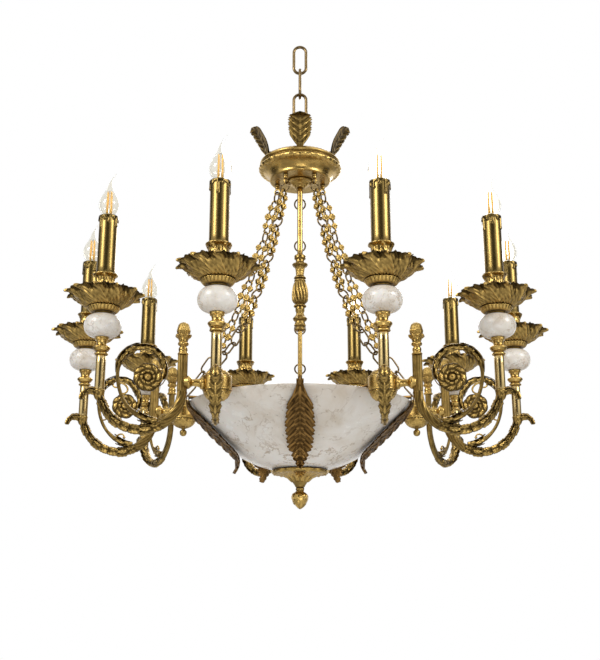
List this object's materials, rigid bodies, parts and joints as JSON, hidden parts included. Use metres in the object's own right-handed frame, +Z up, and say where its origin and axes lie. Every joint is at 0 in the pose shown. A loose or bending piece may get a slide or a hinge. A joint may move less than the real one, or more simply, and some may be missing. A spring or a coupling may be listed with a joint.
{
  "type": "alabaster bowl chandelier",
  "caption": "Hanging chandelier in antique brass with candle lights on scrolled arms, a leafy crown, swag chains and an alabaster bowl carried by leaf brackets.",
  "frame": {"origin": "hanging point: the middle of the inside top of the top chain link, where the ceiling hook bears", "axes": "+Z up along the rod, -Y towards the viewer, +X to the viewer's right"},
  "size_m": [0.9034, 0.866, 0.9161],
  "materials": {
    "antique_brass": "antiqued cast brass, dark in its recesses",
    "chain_brass": "smooth drawn brass with a bronze tone",
    "satin_brass": "satin lacquered brass",
    "alabaster": "honed alabaster with tan veins",
    "bulb_glass": "clear blown glass",
    "cap_metal": "nickel-plated screw cap",
    "holder_plastic": "moulded thermoset plastic",
    "plated_steel": "brass-plated steel"
  },
  "bodies": {
    "top_link": {"ceiling_link_1": "chain_brass"},
    "middle_link": {"ceiling_link_2": "chain_brass"},
    "lower_link": {"ceiling_link_3": "chain_brass"},
    "fixture": {"crown_loop": "chain_brass", "crown_dish": "antique_brass", "crown_leaves": "antique_brass", "crown_boss": "antique_brass", "chain_pegs": "antique_brass", "rod_nuts": "plated_steel", "central_rod": "plated_steel", "upper_tube": "antique_brass", "column_turnings": "antique_brass", "swag_rings": "antique_brass", "flower_links": "antique_brass", "chain_hooks": "antique_brass", "oval_links": "antique_brass", "alabaster_bowl": "alabaster", "bowl_spider": "plated_steel", "bowl_brackets": "antique_brass", "bottom_cup": "antique_brass", "bud_finial": "antique_brass", "hub_bodies": "satin_brass", "hub_domes": "antique_brass", "hub_drops": "antique_brass", "spools": "antique_brass", "arm_uprights": "antique_brass", "arm_bows": "antique_brass", "arm_leaves": "antique_brass", "arm_scrolls": "antique_brass", "scroll_rosettes": "antique_brass", "arm_collars": "antique_brass", "acorn_finials": "antique_brass", "stem_tubes": "antique_brass", "stem_collars": "antique_brass", "alabaster_balls": "alabaster", "fluted_cups": "antique_brass", "bobeches": "antique_brass", "candle_cups": "antique_brass", "candle_sleeves": "satin_brass", "lampholders": "holder_plastic"},
    "bulb_1": {"bulb_cap_1": "cap_metal", "bulb_glass_1": "bulb_glass"},
    "bulb_2": {"bulb_cap_2": "cap_metal", "bulb_glass_2": "bulb_glass"},
    "bulb_3": {"bulb_cap_3": "cap_metal", "bulb_glass_3": "bulb_glass"},
    "bulb_4": {"bulb_cap_4": "cap_metal", "bulb_glass_4": "bulb_glass"},
    "bulb_5": {"bulb_cap_5": "cap_metal", "bulb_glass_5": "bulb_glass"},
    "bulb_6": {"bulb_cap_6": "cap_metal", "bulb_glass_6": "bulb_glass"},
    "bulb_7": {"bulb_cap_7": "cap_metal", "bulb_glass_7": "bulb_glass"},
    "bulb_8": {"bulb_cap_8": "cap_metal", "bulb_glass_8": "bulb_glass"},
    "bulb_9": {"bulb_cap_9": "cap_metal", "bulb_glass_9": "bulb_glass"},
    "bulb_10": {"bulb_cap_10": "cap_metal", "bulb_glass_10": "bulb_glass"}
  },
  "joints": [
    {"name": "middle_link_swing", "type": "hinge", "parent": "top_link", "child": "middle_link", "pos_m": [0, 0, -0.056], "axis": [1, 0, 0], "range_deg": [-30, 30]},
    {"name": "lower_link_swing", "type": "hinge", "parent": "middle_link", "child": "lower_link", "pos_m": [0, 0, -0.1087], "axis": [0, 1, 0], "range_deg": [-30, 30]},
    {"name": "fixture_swing", "type": "hinge", "parent": "lower_link", "child": "fixture", "pos_m": [0, 0, -0.1614], "axis": [1, 0, 0], "range_deg": [-30, 30]},
    {"name": "bulb_1_turn", "type": "hinge", "parent": "fixture", "child": "bulb_1", "pos_m": [0.12083, -0.37186, -0.4541], "axis": [0, 0, 1], "range_deg": [0, 1080]},
    {"name": "bulb_2_turn", "type": "hinge", "parent": "fixture", "child": "bulb_2", "pos_m": [0.31633, -0.22982, -0.4541], "axis": [0, 0, 1], "range_deg": [0, 1080]},
    {"name": "bulb_3_turn", "type": "hinge", "parent": "fixture", "child": "bulb_3", "pos_m": [0.391, 0, -0.4541], "axis": [0, 0, 1], "range_deg": [0, 1080]},
    {"name": "bulb_4_turn", "type": "hinge", "parent": "fixture", "child": "bulb_4", "pos_m": [0.31633, 0.22982, -0.4541], "axis": [0, 0, 1], "range_deg": [0, 1080]},
    {"name": "bulb_5_turn", "type": "hinge", "parent": "fixture", "child": "bulb_5", "pos_m": [0.12083, 0.37186, -0.4541], "axis": [0, 0, 1], "range_deg": [0, 1080]},
    {"name": "bulb_6_turn", "type": "hinge", "parent": "fixture", "child": "bulb_6", "pos_m": [-0.12083, 0.37186, -0.4541], "axis": [0, 0, 1], "range_deg": [0, 1080]},
    {"name": "bulb_7_turn", "type": "hinge", "parent": "fixture", "child": "bulb_7", "pos_m": [-0.31633, 0.22982, -0.4541], "axis": [0, 0, 1], "range_deg": [0, 1080]},
    {"name": "bulb_8_turn", "type": "hinge", "parent": "fixture", "child": "bulb_8", "pos_m": [-0.391, 0, -0.4541], "axis": [0, 0, 1], "range_deg": [0, 1080]},
    {"name": "bulb_9_turn", "type": "hinge", "parent": "fixture", "child": "bulb_9", "pos_m": [-0.31633, -0.22982, -0.4541], "axis": [0, 0, 1], "range_deg": [0, 1080]},
    {"name": "bulb_10_turn", "type": "hinge", "parent": "fixture", "child": "bulb_10", "pos_m": [-0.12083, -0.37186, -0.4541], "axis": [0, 0, 1], "range_deg": [0, 1080]}
  ]
}
